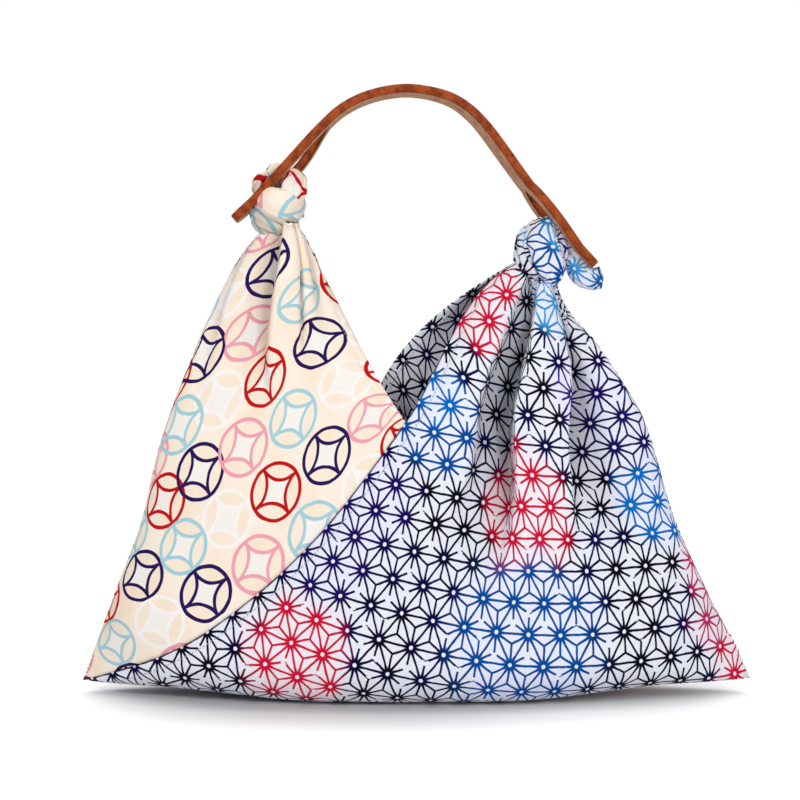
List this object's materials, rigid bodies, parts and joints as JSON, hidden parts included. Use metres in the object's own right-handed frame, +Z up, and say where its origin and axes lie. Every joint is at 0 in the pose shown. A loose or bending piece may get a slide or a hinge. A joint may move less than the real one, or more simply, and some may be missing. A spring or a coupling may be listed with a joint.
{
  "type": "azuma bag",
  "caption": "Japanese azuma bukuro: a cloth bag folded from one long strip in two printed cottons, its knotted horns carrying a slit leather strap.",
  "frame": {"origin": "on the surface the bag stands on, under the middle of its bounding box", "axes": "+X to the viewer's right, towards the asanoha horn, +Y to the back, +Z up; the front, where the asanoha panel laps the shippo panel, faces -Y"},
  "size_m": [0.3608, 0.085, 0.327],
  "materials": {
    "shippo_cotton": "plain weave cotton, cream, printed with shippo circles in navy, red, light blue, pink and white",
    "asanoha_cotton": "plain weave cotton, pale lavender, printed with navy hemp leaf stars that turn red and blue in soft patches",
    "strap_leather": "vegetable tanned, smooth brown grain side out, paler flesh side in, burnished edges"
  },
  "bodies": {
    "root": {"shippo_panel": "shippo_cotton", "asanoha_panel": "asanoha_cotton", "leather_strap": "strap_leather"}
  },
  "joints": []
}
